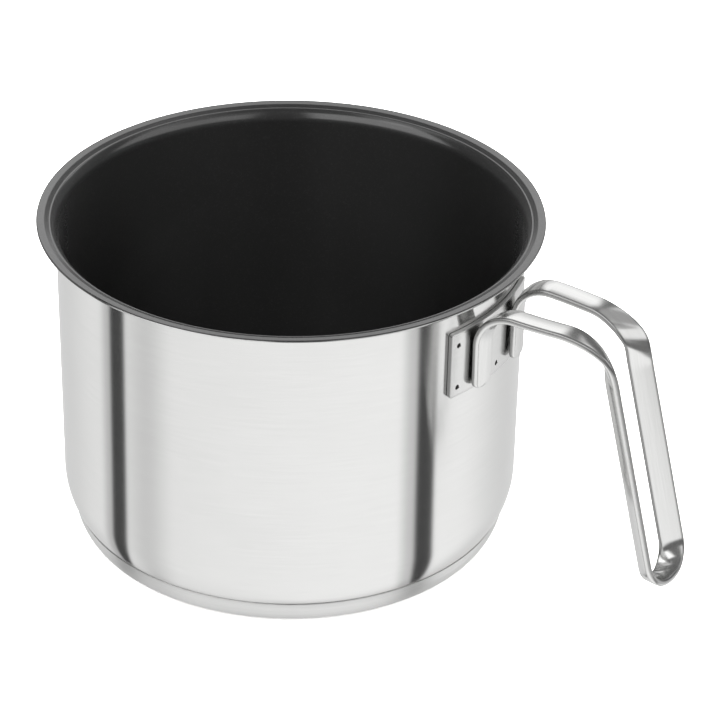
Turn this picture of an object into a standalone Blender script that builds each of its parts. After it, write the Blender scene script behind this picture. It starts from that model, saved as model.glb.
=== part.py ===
"""Milk pan: a pressed steel body with a pouring lip, a nonstick lining, a capped aluminium base and a strap handle.

The origin is the centre of the base's underside, +X points along the handle, and +Z is up. Lengths are in metres.
"""

import math

import bmesh
import bpy
from mathutils import Matrix, Vector

# Clearance between pieces that touch, how far a cutter runs past its wall, and how close points are made one
GAP = 0.0003
OVERRUN = 0.001
WELD_DISTANCE = 0.00001

# How finely round shapes are divided
TURN_STEPS = 56
WIDEST_FACET = math.radians(15)
SHARP_ANGLE = math.radians(30)
CORNER_STEPS = 3
BOTTOM_TURN_STEPS = 8

# Pan body: one sheet with an upright wall, a flared lip and a rounded lower corner that ends in a small heel
PAN_HEIGHT = 0.104
LIP_OVERHANG = 0.0057
LIP_RISE = math.radians(8)
FLARE_RADIUS = 0.00365
WALL_RADIUS = 0.0708
WALL_TAPER = math.radians(0.57)
CORNER_RADIUS = 0.0212
CORNER_TURN = math.radians(33)
HEEL_RADIUS = 0.0033
BODY_SHEET = 0.0006
LINING_SHEET = 0.00035

# Base: an aluminium disc closed in by a pressed cap
CORE_THICKNESS = 0.0048
CAP_SHEET = 0.0006
CAP_EDGE = 0.0002
CAP_SIDE_RADIUS = 0.01165
CAP_FILLET = 0.004
CAP_TURN = math.radians(35)

# Bracket plate on the wall below the lip, with six spot welds in three columns and two rows
PLATE_DROP = 0.0096
PLATE_HEIGHT = 0.0216
PLATE_WIDTH = 0.0441
PLATE_THICKNESS = 0.0012
PLATE_CORNER = 0.001
PLATE_COLUMNS = 16
WELD_RADIUS = 0.00045
WELD_RECESS = 0.00015
WELD_TOP_INSET = 0.0051
WELD_BOTTOM_INSET = 0.0024
WELD_SIDE_INSET = 0.00355
WELD_SIDES = 12

# Handle strap: one flat bar whose course is the same on both sides of the handle's middle plane
STRAP_WIDTH = 0.0076
STRAP_THICKNESS = 0.0023
STRAP_EDGE = 0.0008
TAB_OFFSET = 0.0104
TAB_INSET = 0.0004
BEND_DROP = 0.00696
TAB_CORNER = 0.002
BEND_RADIUS = 0.01149
BEND_TURN = math.radians(91.5)
RUN_LENGTH = 0.0138
RUN_TILT = math.radians(3.4)
SHOULDER_RADIUS = 0.02025
SHOULDER_TURN = math.radians(41.6)
ELBOW_RADIUS = 0.00743
LEG_LENGTH = 0.06225
LEG_LEAN = math.radians(13.85)
LEG_OFFSET = 0.00846
LEG_TILT = math.radians(50.7)
TWIST_LEAD = 0.0126
TWIST_TRAIL = 0.0054

QUARTER = math.pi / 2
UP = Vector((0, 0, 1))
SIDEWAYS = Vector((0, 1, 0))


def eased(share):
    """A smooth step from 0 to 1."""
    share = min(max(share, 0), 1)
    return share * share * (3 - 2 * share)


def arc(centre, radius, start, stop):
    """Points of an arc about a (radius, height) centre, with both ends."""
    steps = math.ceil(abs(stop - start) / WIDEST_FACET)
    angles = [start + (stop - start) * step / steps for step in range(steps + 1)]
    return [(centre[0] + radius * math.cos(a), centre[1] + radius * math.sin(a)) for a in angles]


# Heights and arc centres of the body, worked out from the base upward and from the lip downward
BODY_BOTTOM = CAP_SHEET + GAP + CORE_THICKNESS + GAP
LIP_RADIUS = WALL_RADIUS + LIP_OVERHANG
LINING_DEPTH = BODY_SHEET + GAP
FLARE_TOP_RADIUS = FLARE_RADIUS + LINING_DEPTH + LINING_SHEET
FLARE_R = WALL_RADIUS + FLARE_RADIUS * math.cos(WALL_TAPER)
LIP_TOP_OUT = LIP_RADIUS - FLARE_R
FLARE_Z = PAN_HEIGHT - FLARE_TOP_RADIUS / math.cos(LIP_RISE) - LIP_TOP_OUT * math.tan(LIP_RISE)
HEEL_Z = BODY_BOTTOM + HEEL_RADIUS
CORNER_Z = HEEL_Z + (CORNER_RADIUS - HEEL_RADIUS) * math.sin(CORNER_TURN)
WALL_FALL = FLARE_Z - CORNER_Z + (FLARE_RADIUS + CORNER_RADIUS) * math.sin(WALL_TAPER)
CORNER_R = WALL_RADIUS - WALL_FALL * math.tan(WALL_TAPER) - CORNER_RADIUS * math.cos(WALL_TAPER)
HEEL_R = CORNER_R + (CORNER_RADIUS - HEEL_RADIUS) * math.cos(CORNER_TURN)

# The cap's upper edge closes on the body where its lower corner turns into the heel
SEAM_HEIGHT = HEEL_Z - HEEL_RADIUS * math.sin(CORNER_TURN)
SEAM_BODY_RADIUS = HEEL_R + HEEL_RADIUS * math.cos(CORNER_TURN)
CAP_RADIUS = SEAM_BODY_RADIUS + GAP / math.cos(CORNER_TURN) + CAP_EDGE
CAP_SIDE_Z = CAP_FILLET + (CAP_SIDE_RADIUS - CAP_FILLET) * math.sin(CAP_TURN)
CAP_SIDE_R = CAP_RADIUS - math.sqrt(CAP_SIDE_RADIUS**2 - (CAP_SIDE_Z - SEAM_HEIGHT) ** 2)
CAP_FILLET_R = CAP_SIDE_R + (CAP_SIDE_RADIUS - CAP_FILLET) * math.cos(CAP_TURN)

# The bracket's edges, the tab's straight length, and the places of the welds as (distance round the wall, height)
PLATE_TOP = PAN_HEIGHT - PLATE_DROP
PLATE_BOTTOM = PLATE_TOP - PLATE_HEIGHT
PLATE_MIDDLE = (PLATE_TOP + PLATE_BOTTOM) / 2
TAB_LENGTH = PLATE_HEIGHT - BEND_DROP - TAB_INSET
WELD_COLUMN = PLATE_WIDTH / 2 - WELD_SIDE_INSET
WELD_ROWS = (PLATE_TOP - WELD_TOP_INSET, PLATE_BOTTOM + WELD_BOTTOM_INSET)
WELD_PLACES = [(round_wall, height) for height in WELD_ROWS for round_wall in (-WELD_COLUMN, 0, WELD_COLUMN)]


def wall_radius(height):
    """Radius of the wall's outer face at a height of its straight stretch."""
    return WALL_RADIUS - (FLARE_Z - height) * math.tan(WALL_TAPER)


def vessel_side(depth):
    """Outline of the body from the lip's edge to the flat bottom, on a face that lies deeper in by a given depth."""
    flare = FLARE_RADIUS + depth
    lip_height = FLARE_Z + flare / math.cos(LIP_RISE) + LIP_TOP_OUT * math.tan(LIP_RISE)
    points = [(LIP_RADIUS, lip_height)]
    points += arc((FLARE_R, FLARE_Z), flare, QUARTER + LIP_RISE, math.pi - WALL_TAPER)
    points += arc((CORNER_R, CORNER_Z), CORNER_RADIUS - depth, -WALL_TAPER, -CORNER_TURN)
    points += arc((HEEL_R, HEEL_Z), HEEL_RADIUS - depth, -CORNER_TURN, -QUARTER)[1:]
    return points + [(0, BODY_BOTTOM + depth)]


def cap_side(depth, top):
    """Outline of the cap from the centre of its underside up to a height, on a face that lies deeper in."""
    side = CAP_SIDE_RADIUS - depth
    top_angle = -math.asin((CAP_SIDE_Z - top) / side)
    points = [(0, depth)]
    points += arc((CAP_FILLET_R, CAP_FILLET), CAP_FILLET - depth, -QUARTER, -CAP_TURN)
    return points + arc((CAP_SIDE_R, CAP_SIDE_Z), side, -CAP_TURN, top_angle)[1:]


def material(name, colour, roughness, metallic):
    """A Principled material of one colour."""
    made = bpy.data.materials.new(name)
    made.use_nodes = True
    shader = made.node_tree.nodes["Principled BSDF"]
    shader.inputs["Base Color"].default_value = (*colour, 1)
    shader.inputs["Roughness"].default_value = roughness
    shader.inputs["Metallic"].default_value = metallic
    return made


def finished_mesh(name, built, surface):
    """Turns a closed bmesh into a mesh with outward faces, smooth shading and a material."""
    bmesh.ops.recalc_face_normals(built, faces=built.faces[:])
    mesh = bpy.data.meshes.new(name)
    built.to_mesh(mesh)
    built.free()
    mesh.shade_smooth()
    mesh.set_sharp_from_angle(angle=SHARP_ANGLE)
    mesh.materials.append(surface)
    return mesh


def placed(name, mesh, matrix=None):
    """Adds an object to the scene."""
    made = bpy.data.objects.new(name, mesh)
    if matrix:
        made.matrix_world = matrix
    bpy.context.scene.collection.objects.link(made)
    return made


def turned(name, outline, surface):
    """Spins an outline of (radius, height) points, which starts and ends on the axis, once round Z."""
    built = bmesh.new()
    corners = [built.verts.new((radius, 0, height)) for radius, height in outline]
    edges = [built.edges.new(pair) for pair in zip(corners, corners[1:])]
    bmesh.ops.spin(
        built,
        geom=corners + edges,
        axis=UP,
        cent=(0, 0, 0),
        angle=math.tau,
        steps=TURN_STEPS,
        use_merge=True,
    )
    bmesh.ops.remove_doubles(built, verts=built.verts[:], dist=WELD_DISTANCE)
    return placed(name, finished_mesh(name, built, surface))


def lofted(name, rings, surface):
    """Joins rings of points, each with as many points as the next, into one closed body with flat ends."""
    built = bmesh.new()
    loops = [[built.verts.new(point) for point in ring] for ring in rings]
    for low, high in zip(loops, loops[1:]):
        for side in range(len(low)):
            built.faces.new((low[side - 1], low[side], high[side], high[side - 1]))
    built.faces.new(loops[0])
    built.faces.new(loops[-1])
    return finished_mesh(name, built, surface)


def pan_body():
    """The pressed steel vessel."""
    outline = vessel_side(0)[::-1] + vessel_side(BODY_SHEET)
    turned("pan_body", outline, material("brushed_steel", (0.62, 0.62, 0.61), 0.28, 1))


def nonstick_lining():
    """The dark lining over the whole inside."""
    outline = vessel_side(LINING_DEPTH)[::-1] + vessel_side(LINING_DEPTH + LINING_SHEET)
    turned("nonstick_lining", outline, material("nonstick", (0.02, 0.02, 0.022), 0.45, 0))


def aluminium_core():
    """The disc that fills the cap below the body."""
    top = BODY_BOTTOM - GAP
    outline = cap_side(CAP_SHEET + GAP, top) + [(0, top)]
    turned("aluminium_core", outline, material("aluminium", (0.75, 0.75, 0.76), 0.4, 1))


def base_cap():
    """The pressed cap, whose upper edge is thinned inside to meet the body."""
    inside = cap_side(CAP_SHEET, SEAM_HEIGHT - CAP_SHEET)
    outline = cap_side(0, SEAM_HEIGHT) + [(CAP_RADIUS - CAP_EDGE, SEAM_HEIGHT)] + inside[::-1]
    turned("base_cap", outline, material("cap_steel", (0.6, 0.6, 0.59), 0.3, 1))


def wall_angle(round_wall):
    """Angle about Z of a distance round the wall, measured on the bracket's inner face."""
    return round_wall / (wall_radius(PLATE_MIDDLE) + GAP)


def plate_point(round_wall, height, out):
    """A point of the bracket, from its distance round the wall, its height and its distance out from the gap."""
    angle = wall_angle(round_wall)
    radius = wall_radius(height) + GAP + out
    return Vector((radius * math.cos(angle), radius * math.sin(angle), height))


def plate_stations():
    """Distances round the wall of the bracket's columns, with the half height that its rounded corners leave."""
    straight = PLATE_WIDTH / 2 - PLATE_CORNER
    half_height = PLATE_HEIGHT / 2
    corner = arc((straight, half_height - PLATE_CORNER), PLATE_CORNER, QUARTER, 0)
    middle = [straight * (2 * column / PLATE_COLUMNS - 1) for column in range(1, PLATE_COLUMNS)]
    return [(-across, up) for across, up in corner[::-1]] + [(across, half_height) for across in middle] + corner


def handle_bracket():
    """The curved plate, with a round hole for each weld."""
    rings = []
    for across, half_height in plate_stations():
        low = PLATE_MIDDLE - half_height
        high = PLATE_MIDDLE + half_height
        corners = ((low, 0), (high, 0), (high, PLATE_THICKNESS), (low, PLATE_THICKNESS))
        rings.append([plate_point(across, height, out) for height, out in corners])
    surface = material("bracket_steel", (0.62, 0.62, 0.61), 0.25, 1)
    plate = placed("handle_bracket", lofted("handle_bracket", rings, surface))
    hole = weld_prism("weld_hole", WELD_RADIUS + GAP, -OVERRUN, PLATE_THICKNESS + OVERRUN, surface)
    for number, place in enumerate(WELD_PLACES, 1):
        cutter = placed(f"weld_hole_{number}", hole, weld_matrix(place))
        cutter.hide_render = True
        cutter.display_type = "WIRE"
        cut = plate.modifiers.new(cutter.name, "BOOLEAN")
        cut.operation = "DIFFERENCE"
        cut.solver = "EXACT"
        cut.object = cutter


def weld_prism(name, radius, start, stop, surface):
    """A round bar along +X between two distances."""
    angles = [math.tau * side / WELD_SIDES for side in range(WELD_SIDES)]
    rings = [[(x, radius * math.cos(a), radius * math.sin(a)) for a in angles] for x in (start, stop)]
    return lofted(name, rings, surface)


def weld_matrix(place):
    """Puts a weld's own X axis square to the wall, with its origin on the bracket's inner face."""
    round_wall, height = place
    turn = Matrix.Rotation(wall_angle(round_wall), 4, "Z")
    return Matrix.Translation(plate_point(round_wall, height, 0)) @ turn


def spot_welds():
    """Six plugs of fused metal, a little below the bracket's face."""
    surface = material("weld_steel", (0.35, 0.35, 0.35), 0.4, 1)
    plug = weld_prism("spot_weld", WELD_RADIUS, 0, PLATE_THICKNESS - WELD_RECESS, surface)
    for number, place in enumerate(WELD_PLACES, 1):
        placed(f"spot_weld_{number}", plug, weld_matrix(place))


def strap_course():
    """Stations of half the strap in its own plane: distance from the tab's end, x, height and heading."""
    tab_radius = wall_radius(PLATE_MIDDLE) + GAP + PLATE_THICKNESS + GAP + STRAP_THICKNESS / 2
    elbow_turn = math.pi - LEG_LEAN - BEND_TURN - SHOULDER_TURN
    corner = [QUARTER * step / CORNER_STEPS for step in range(CORNER_STEPS + 1)]
    stretches = [(TAB_CORNER * (math.cos(a) - math.cos(b)), 0, 1) for a, b in zip(corner, corner[1:])]
    stretches += [
        (TAB_LENGTH - TAB_CORNER, 0, 1),
        (BEND_RADIUS * BEND_TURN, BEND_TURN, 8),
        (RUN_LENGTH, 0, 3),
        (SHOULDER_RADIUS * SHOULDER_TURN, SHOULDER_TURN, 6),
        (ELBOW_RADIUS * elbow_turn, elbow_turn, 5),
        (TWIST_TRAIL, 0, 3),
        (LEG_LENGTH - TWIST_TRAIL, 0, 1),
    ]
    x = math.sqrt(tab_radius**2 - TAB_OFFSET**2)
    height = PLATE_BOTTOM + TAB_INSET
    heading = QUARTER
    distance = 0
    stations = [(distance, x, height, heading)]
    for length, turn, steps in stretches:
        for _ in range(steps):
            half_turn = turn / steps / 2
            chord = length / steps
            if half_turn:
                chord = chord * math.sin(half_turn) / half_turn
            x += chord * math.cos(heading - half_turn)
            height += chord * math.sin(heading - half_turn)
            heading -= 2 * half_turn
            distance += length / steps
            stations.append((distance, x, height, heading))
    return stations


def strap_section(centre, across, face, width):
    """Ring of a bar with rounded edges, from its width direction and the normal of its outer face."""
    half_width = width / 2 - STRAP_EDGE
    half_thickness = STRAP_THICKNESS / 2 - STRAP_EDGE
    ring = []
    for quarter, (w, t) in enumerate(((1, 1), (-1, 1), (-1, -1), (1, -1))):
        for step in range(CORNER_STEPS):
            angle = QUARTER * (quarter + step / (CORNER_STEPS - 1))
            along_width = w * half_width + STRAP_EDGE * math.cos(angle)
            along_face = t * half_thickness + STRAP_EDGE * math.sin(angle)
            ring.append(centre + along_width * across + along_face * face)
    return ring


def strap_half():
    """Rings of the rear half of the strap, from its tab down to the middle of the turn at the bottom."""
    stations = strap_course()
    bend_end = TAB_LENGTH + BEND_RADIUS * BEND_TURN
    shoulder_end = bend_end + RUN_LENGTH + SHOULDER_RADIUS * SHOULDER_TURN
    elbow_end = stations[-1][0] - LEG_LENGTH
    twist_length = TWIST_LEAD + elbow_end - shoulder_end + TWIST_TRAIL
    tab_tilt = math.atan2(TAB_OFFSET, stations[0][1])
    rings = []
    for distance, x, height, heading in stations:
        inward = eased((distance - bend_end) / (shoulder_end - bend_end))
        offset = TAB_OFFSET + (LEG_OFFSET - TAB_OFFSET) * inward
        tilt = tab_tilt + (RUN_TILT - tab_tilt) * eased((distance - TAB_LENGTH) / (bend_end - TAB_LENGTH))
        tilt += (LEG_TILT - tilt) * eased((distance - shoulder_end + TWIST_LEAD) / twist_length)
        forward = Vector((math.cos(heading), 0, math.sin(heading)))
        normal = Vector((-math.sin(heading), 0, math.cos(heading)))
        centre = Vector((x, offset, height))
        face = math.cos(tilt) * normal - math.sin(tilt) * SIDEWAYS
        beyond = max(1 - distance / TAB_CORNER, 0)
        width = STRAP_WIDTH - 2 * TAB_CORNER * (1 - math.sqrt(1 - beyond * beyond))
        rings.append(strap_section(centre, face.cross(forward), face, width))
    return rings + turn_rings(centre, forward, normal)


def turn_rings(leg_end, down, normal):
    """Rings of a quarter of the round turn, over which the bar's face turns edge on to the middle plane."""
    rings = []
    for step in range(1, BOTTOM_TURN_STEPS + 1):
        turn = QUARTER * step / BOTTOM_TURN_STEPS
        outward = math.cos(turn) * SIDEWAYS + math.sin(turn) * down
        forward = math.cos(turn) * down - math.sin(turn) * SIDEWAYS
        centre = leg_end + LEG_OFFSET * (outward - SIDEWAYS)
        tilt = LEG_TILT + (QUARTER - LEG_TILT) * eased(turn / QUARTER)
        face = math.cos(tilt) * normal - math.sin(tilt) * outward
        rings.append(strap_section(centre, face.cross(forward), face, STRAP_WIDTH))
    return rings


def handle_strap():
    """The rear half of the bar and its mirror image, which share the ring in the middle plane."""
    rear = strap_half()
    front = [[Vector((point.x, -point.y, point.z)) for point in ring] for ring in rear[-2::-1]]
    surface = material("strap_steel", (0.66, 0.66, 0.65), 0.16, 1)
    placed("handle_strap", lofted("handle_strap", rear + front, surface))


def main():
    """Clears the scene and models every piece."""
    for old in list(bpy.data.objects):
        bpy.data.objects.remove(old, do_unlink=True)
    pan_body()
    nonstick_lining()
    aluminium_core()
    base_cap()
    handle_bracket()
    spot_welds()
    handle_strap()


main()
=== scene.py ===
"""Looks of the milk pan: brushed steel body, nonstick lining, capped base and strap handle.

The origin is the centre of the base's underside, +X points along the handle, and +Z is up.
Lengths are in metres.
"""

import math

import bpy
from mathutils import Matrix, Vector


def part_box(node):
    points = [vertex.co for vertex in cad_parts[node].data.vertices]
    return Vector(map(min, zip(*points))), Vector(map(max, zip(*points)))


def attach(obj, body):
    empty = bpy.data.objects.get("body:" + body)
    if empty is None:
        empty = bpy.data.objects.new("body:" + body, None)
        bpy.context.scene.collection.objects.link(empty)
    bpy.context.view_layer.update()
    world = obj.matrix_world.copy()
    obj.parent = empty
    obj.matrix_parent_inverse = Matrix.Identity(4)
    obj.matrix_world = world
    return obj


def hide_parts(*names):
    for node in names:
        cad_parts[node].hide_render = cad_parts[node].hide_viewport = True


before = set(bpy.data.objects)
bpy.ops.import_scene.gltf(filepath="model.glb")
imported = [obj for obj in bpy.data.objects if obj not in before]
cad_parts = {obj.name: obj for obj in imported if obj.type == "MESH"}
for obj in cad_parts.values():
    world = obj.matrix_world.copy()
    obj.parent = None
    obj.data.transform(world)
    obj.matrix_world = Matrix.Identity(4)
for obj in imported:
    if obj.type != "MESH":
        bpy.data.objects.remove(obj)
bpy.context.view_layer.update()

# A millimetre, a quarter of a turn and two directions
MM = 0.001
QUARTER = math.pi / 2
UP = Vector((0, 0, 1))
SIDEWAYS = Vector((0, 1, 0))

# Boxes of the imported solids, from which the main sizes come
BODY_LOW, BODY_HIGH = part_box("pan_body")
LINING_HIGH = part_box("nonstick_lining")[1]
PLATE_LOW, PLATE_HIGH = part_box("handle_bracket")

# Pan body: one sheet with an upright wall, a flared lip and a rounded lower corner with a small heel
PAN_HEIGHT = LINING_HIGH.z
BODY_BOTTOM = BODY_LOW.z
LIP_RADIUS = BODY_HIGH.x
LIP_OVERHANG = 5.7 * MM
WALL_RADIUS = LIP_RADIUS - LIP_OVERHANG
LIP_RISE = math.radians(8)
FLARE_RADIUS = 3.65 * MM
WALL_TAPER = math.radians(0.57)
CORNER_RADIUS = 21.2 * MM
CORNER_TURN = math.radians(33)
HEEL_RADIUS = 3.3 * MM
BODY_SHEET = 0.5 * MM
LINING_SHEET = 0.3 * MM
SHEET_STACK = 0.85 * MM

# Fine steps of the coating on the lip, from its edge inward: widths in millimetres and slopes in degrees
LIP_STEPS = (
    (2.25, 8),
    (0.15, 11),
    (0.2, 18),
    (1.15, 20),
    (0.1, 15),
    (0.1, 8),
    (0.2, 3.5),
    (0.15, 17),
    (0.27, 27),
)
STEPS_END = math.radians(38)

# How far the coating stops short of the lip's edge
LIP_SETBACK = 0.15 * MM

# Base cap
GAP = 0.3 * MM
CAP_SHEET = 0.6 * MM
CAP_EDGE = 0.2 * MM
CAP_DRAW = 2.5 * MM
CAP_DRAW_ROWS = 4
SEAM_GAP = 0.015 * MM
CAP_BEVEL = math.radians(35)
CAP_SIDE_RADIUS = 11.65 * MM
CAP_FILLET = 4 * MM
CAP_TURN = math.radians(35)

# Bracket plate, which sits a little lower than its solid, and its welds
PLATE_SHIFT = 0.7 * MM
PLATE_TOP = PLATE_HIGH.z - PLATE_SHIFT
PLATE_BOTTOM = PLATE_LOW.z - PLATE_SHIFT
PLATE_MIDDLE = (PLATE_TOP + PLATE_BOTTOM) / 2
PLATE_HEIGHT = PLATE_TOP - PLATE_BOTTOM
PLATE_WIDTH = 42.9 * MM
PLATE_THICKNESS = 1.4 * MM
PLATE_STANDOFF = GAP / 3
PLATE_FACE = PLATE_STANDOFF + PLATE_THICKNESS
PLATE_CENTRE = PLATE_STANDOFF + PLATE_THICKNESS / 2
PLATE_CORNER = 1 * MM
PLATE_EDGE = 0.2 * MM
WELD_RADIUS = 0.75 * MM
WELD_SLACK = 0.03 * MM
WELD_RECESS = 0.22 * MM
HOLE_CHAMFER = 0.12 * MM

# Insets of the welds from the plate's top, bottom and ends
WELD_INSETS = (4.4 * MM, 3.1 * MM, 2.95 * MM)

# Dished top of a weld: shares of its radius, and of the dish's depth there
WELD_DISH = 0.1 * MM
WELD_PROFILE = (
    (0, 1),
    (0.35, 0.85),
    (0.7, 0.2),
    (0.85, 0),
    (0.96, 0.3),
    (1, 1),
)

# Handle strap: its section and its tabs, then its course from a tab to the turn at the bottom
STRAP_WIDTH = 7.6 * MM
STRAP_THICKNESS = 2.5 * MM
STRAP_EDGE = 0.75 * MM
STRAP_CROWN = math.radians(8)
TAB_OFFSET = 10.4 * MM
TAB_STANDOFF = 1.8 * MM
TAB_INSET = 1.1 * MM
BEND_DROP = 6.26 * MM
TAB_CORNER = 2 * MM
END_EDGE = 0.5 * MM
BEND_RADIUS = 11.49 * MM
BEND_TURN = math.radians(91.5)
RUN_LENGTH = 13.68 * MM
RUN_TILT = math.radians(3.4)
SHOULDER_RADIUS = 20.25 * MM
SHOULDER_TURN = math.radians(41.6)
ELBOW_RADIUS = 7.43 * MM
LEG_LENGTH = 62.25 * MM
LEG_LEAN = math.radians(13.85)
LEG_OFFSET = 8.46 * MM
LEG_TILT = math.radians(50.7)
TWIST_LEAD = 12.6 * MM
TWIST_TRAIL = 5.4 * MM
SKEW_LEAD = 2.8 * MM
SKEW_RAMP = 8 * MM
TAB_LENGTH = PLATE_HEIGHT - BEND_DROP - TAB_INSET
ELBOW_TURN = math.pi - LEG_LEAN - BEND_TURN - SHOULDER_TURN

# Where a bar takes painted shade and a rougher finish: in from its sides, in from its cut ends, and out from
# its middle
SIDE_BAND = (1.1 * MM, 0.35 * MM)
CUT_BAND = (0.3 * MM, 0.05 * MM)
OUTER_BAND = (-0.5 * MM, 0.2 * MM)

# Length given for a bar whose ends keep the finish of its faces, without the painted shade of cut ends
ENDLESS = 1

# Camera of the photograph: its direction and distance, and where the pan's axis falls in the picture
PICTURE = 720
VIEW_TURN = math.radians(32.5)
VIEW_RISE = math.radians(30.41)
VIEW_DISTANCE = 1.1
AIM_HEIGHT = PAN_HEIGHT - 50 * MM
AIM_PIXEL = (290.5, 356.6)
VIEW_ROLL = math.radians(-0.41)
FOCAL_PIXELS = 3579
SENSOR = 36
FAR_LIMIT = 100

# How finely shapes are divided
TURN_SEGMENTS = 360
WELD_SEGMENTS = 24
ARC_STEP = math.radians(3)
FLARE_STEP = math.radians(2)
SHEET_EDGE_STEP = math.radians(15)
BAR_EDGE_STEP = math.radians(12)
STEP_TOLERANCE = 0.001
ROW_HEIGHT = 2.5 * MM
CROWN_STEPS = 8
PLATE_STEPS = 96
PLATE_CORNER_STEPS = 10
TAB_CORNER_STEPS = 12
TURN_STEPS = 32
SHARP_ANGLE = math.radians(35)

# Range that most values of a noise fall in
SPREAD = (0.3, 0.7)


class Wire:
    """A value inside a node tree, on which Python's operators add Math nodes."""

    def __init__(self, tree, socket):
        self.tree = tree
        self.socket = socket

    def maths(self, operation, *given):
        """A Math node fed by this value and the others."""
        return self.tree.add("ShaderNodeMath", {"operation": operation}, dict(enumerate((self, *given))))

    def __add__(self, other):
        return self.maths("ADD", other)

    def __sub__(self, other):
        return self.maths("SUBTRACT", other)

    def __rsub__(self, other):
        return self.tree.add("ShaderNodeMath", {"operation": "SUBTRACT"}, {0: other, 1: self})

    def __mul__(self, other):
        return self.maths("MULTIPLY", other)

    def __truediv__(self, other):
        return self.maths("DIVIDE", other)

    def __pow__(self, other):
        return self.maths("POWER", other)

    __radd__ = __add__
    __rmul__ = __mul__


class Tree:
    """A node tree in the making."""

    def __init__(self, tree):
        self.tree = tree

    def add(self, kind, settings=None, sockets=None, output=0):
        """Adds a node, sets it up, fills its sockets with values or links, and gives one of its outputs."""
        node = self.tree.nodes.new(kind)
        for name, value in (settings or {}).items():
            setattr(node, name, value)
        for key, given in (sockets or {}).items():
            if isinstance(given, Wire):
                self.tree.links.new(given.socket, node.inputs[key])
            else:
                node.inputs[key].default_value = given
        return Wire(self, node.outputs[output])

    def vector(self, operation, *given):
        """A Vector Math node."""
        return self.add("ShaderNodeVectorMath", {"operation": operation}, dict(enumerate(given)))

    def join(self, x, y, z):
        """A vector from three values."""
        return self.add("ShaderNodeCombineXYZ", {}, {0: x, 1: y, 2: z})

    def split(self, vector):
        """The three values of a vector."""
        parts = self.add("ShaderNodeSeparateXYZ", {}, {0: vector})
        return [Wire(self, socket) for socket in parts.socket.node.outputs]

    def ranged(self, value, low, high):
        """How far a value has come from one number to another, smoothly from 0 to 1."""
        sockets = {"Value": value, "From Min": low, "From Max": high}
        return self.add("ShaderNodeMapRange", {"interpolation_type": "SMOOTHSTEP"}, sockets)


class Shaping(Tree):
    """A Geometry Nodes tree with named inputs."""

    def __init__(self, name, **inputs):
        super().__init__(bpy.data.node_groups.new(name, "GeometryNodeTree"))
        sides = self.tree.interface
        sides.new_socket("Geometry", in_out="OUTPUT", socket_type="NodeSocketGeometry")
        sides.new_socket("Geometry", in_out="INPUT", socket_type="NodeSocketGeometry")
        for label, kind in inputs.items():
            sides.new_socket(label, in_out="INPUT", socket_type=f"NodeSocket{kind}")
        entry = self.tree.nodes.new("NodeGroupInput")
        self.given = {socket.name: Wire(self, socket) for socket in entry.outputs if socket.name}

    def sampled(self, geometry, value, index, kind="FLOAT_VECTOR"):
        """A value of another mesh's point."""
        settings = {"data_type": kind, "domain": "POINT"}
        sockets = {"Geometry": geometry, "Value": value, "Index": index}
        return self.add("GeometryNodeSampleIndex", settings, sockets)

    def attribute(self, name, kind="FLOAT_VECTOR"):
        """A named attribute."""
        return self.add("GeometryNodeInputNamedAttribute", {"data_type": kind}, {"Name": name})

    def finish(self, shape, surface):
        """Ends the tree with plain geometry and its material."""
        real = self.add("GeometryNodeRealizeInstances", {}, {"Geometry": shape})
        dressed = self.add("GeometryNodeSetMaterial", {}, {"Geometry": real, "Material": surface})
        leaving = self.tree.nodes.new("NodeGroupOutput")
        self.tree.links.new(dressed.socket, leaving.inputs[0])
        return self.tree


def turning_tree():
    """Spins an outline of (radius, 0, height) points once round Z, on the grid of a UV sphere."""
    tree = Shaping("turned_outline", Segments="Int", Surface="Material")
    outline = tree.given["Geometry"]
    segments = tree.given["Segments"]
    count = tree.add("GeometryNodeAttributeDomainSize", {"component": "MESH"}, {"Geometry": outline})
    sphere = tree.add("GeometryNodeMeshUVSphere", {}, {"Segments": segments, "Rings": count - 1})
    index = tree.add("GeometryNodeInputIndex")
    ring = ((index - 1) / segments).maths("FLOOR") + 1
    here = tree.add("GeometryNodeInputPosition")
    radius, _, height = tree.split(tree.sampled(outline, here, ring))
    heading = tree.vector("NORMALIZE", tree.vector("MULTIPLY", here, (1, 1, 0)))
    flat = tree.add("ShaderNodeVectorMath", {"operation": "SCALE"}, {0: heading, "Scale": radius})
    place = tree.vector("ADD", flat, tree.join(0, 0, height))
    moved = tree.add("GeometryNodeSetPosition", {}, {"Geometry": sphere, "Position": place})
    smooth = tree.add("GeometryNodeSetShadeSmooth", {}, {"Geometry": moved})
    return tree.finish(smooth, tree.given["Surface"])


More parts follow.
